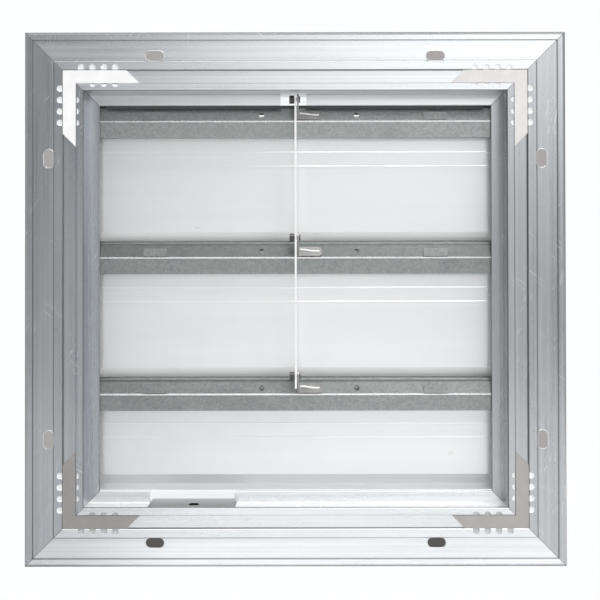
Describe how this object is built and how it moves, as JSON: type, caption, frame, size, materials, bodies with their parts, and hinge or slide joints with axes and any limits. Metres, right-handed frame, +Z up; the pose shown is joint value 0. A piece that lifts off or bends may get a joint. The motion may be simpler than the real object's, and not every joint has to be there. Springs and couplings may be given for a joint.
{
  "type": "duct backdraft damper",
  "caption": "Nearly square flanged aluminium frame with linked, gravity-closed hinged blades that let air through one way and close against return flow.",
  "frame": {"origin": "centre of the flange's face, where the fixing slots' pattern is centred", "axes": "+Z up, +Y along the air flow from the flange into the neck, +X to the right seen from the flange"},
  "size_m": [0.3896, 0.06, 0.3846],
  "materials": {
    "frame_aluminium": "mill",
    "key_metal": "matte",
    "seal": "matte",
    "bushing_plastic": "matte",
    "blade_aluminium": "satin",
    "galvanised": "spangled zinc",
    "plain_steel": "plain",
    "rivet_aluminium": "plain",
    "bracket_steel": "zinc",
    "link_steel": "satin"
  },
  "bodies": {
    "frame": {"top_rail": "frame_aluminium", "right_rail": "frame_aluminium", "bottom_rail": "frame_aluminium", "left_rail": "frame_aluminium", "key_top_right": "key_metal", "key_bottom_right": "key_metal", "key_bottom_left": "key_metal", "key_top_left": "key_metal", "top_seal_left": "seal", "top_seal_right": "seal", "bushing_upper_left": "bushing_plastic", "bushing_upper_right": "bushing_plastic", "bushing_middle_left": "bushing_plastic", "bushing_middle_right": "bushing_plastic", "bushing_lower_left": "bushing_plastic", "bushing_lower_right": "bushing_plastic"},
    "upper_blade": {"blade_upper": "blade_aluminium", "strip_upper": "galvanised", "rod_upper": "plain_steel", "strip_rivets_upper": "rivet_aluminium", "bracket_upper": "bracket_steel", "link_pin_upper": "plain_steel"},
    "middle_blade": {"blade_middle": "blade_aluminium", "strip_middle": "galvanised", "rod_middle": "plain_steel", "strip_rivets_middle": "rivet_aluminium", "bracket_middle": "bracket_steel", "link_pin_middle": "plain_steel"},
    "lower_blade": {"blade_lower": "blade_aluminium", "strip_lower": "galvanised", "rod_lower": "plain_steel", "strip_rivets_lower": "rivet_aluminium", "bracket_lower": "bracket_steel", "link_pin_lower": "plain_steel"},
    "link": {"tie_bar": "link_steel"}
  },
  "joints": [
    {"name": "upper_blade_hinge", "type": "hinge", "parent": "frame", "child": "upper_blade", "pos_m": [0, 0.0269, 0.1395], "axis": [1, 0, 0], "range_deg": [0, 80]},
    {"name": "middle_blade_hinge", "type": "hinge", "parent": "frame", "child": "middle_blade", "pos_m": [0, 0.0269, 0.0387], "axis": [1, 0, 0], "range_deg": [0, 80]},
    {"name": "lower_blade_hinge", "type": "hinge", "parent": "frame", "child": "lower_blade", "pos_m": [0, 0.0269, -0.0621], "axis": [1, 0, 0], "range_deg": [0, 80]},
    {"name": "tie_bar_pivot", "type": "hinge", "parent": "upper_blade", "child": "link", "pos_m": [0, 0.01175, 0.14505], "axis": [1, 0, 0], "range_deg": [-80, 0]}
  ],
  "couplings": [
    {"joint": "middle_blade_hinge", "follows": "upper_blade_hinge", "ratio": 1},
    {"joint": "lower_blade_hinge", "follows": "upper_blade_hinge", "ratio": 1},
    {"joint": "tie_bar_pivot", "follows": "upper_blade_hinge", "ratio": -1}
  ]
}
